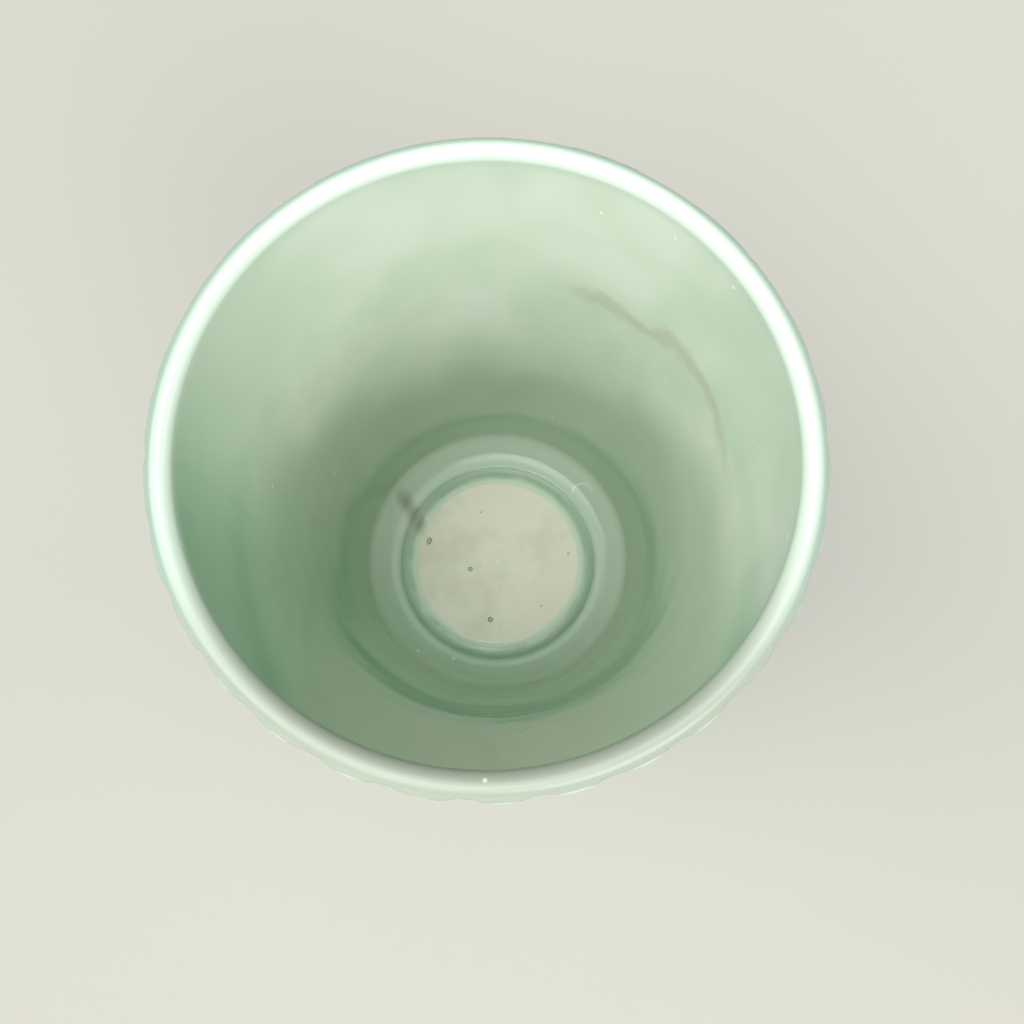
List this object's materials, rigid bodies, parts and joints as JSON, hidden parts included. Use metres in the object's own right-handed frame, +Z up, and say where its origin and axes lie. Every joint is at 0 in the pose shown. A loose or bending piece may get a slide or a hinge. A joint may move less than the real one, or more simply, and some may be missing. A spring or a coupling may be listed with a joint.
{
  "type": "brush holder pot",
  "caption": "Tapered celadon-glazed ceramic pot with a round lip, vertical carved ribs outside, a dropped-in floor disc and a foot ring, for standing brushes and pens in",
  "frame": {"origin": "on the pot's axis, in the plane that the foot ring stands on", "axes": "+Z up along the pot's axis; +X and +Y in the standing plane, with a rib crest 4 degrees clockwise of +X, seen from above"},
  "size_m": [0.121, 0.1212, 0.143],
  "materials": {
    "celadon_glaze": "glossy blue-green celadon glaze, paler where it thins on the lip and the rib crests",
    "pale_floor": "thin pale grey-cream glaze, satin, with a few burst bubbles",
    "pooled_glaze": "deep glossy green where the glaze has pooled",
    "bare_stoneware": "unglazed fired clay, matt, warm grey-buff"
  },
  "bodies": {
    "root": {"pot_wall": "celadon_glaze", "base_disc": "pale_floor", "glaze_bead": "pooled_glaze", "foot_ring": "bare_stoneware"}
  },
  "joints": []
}
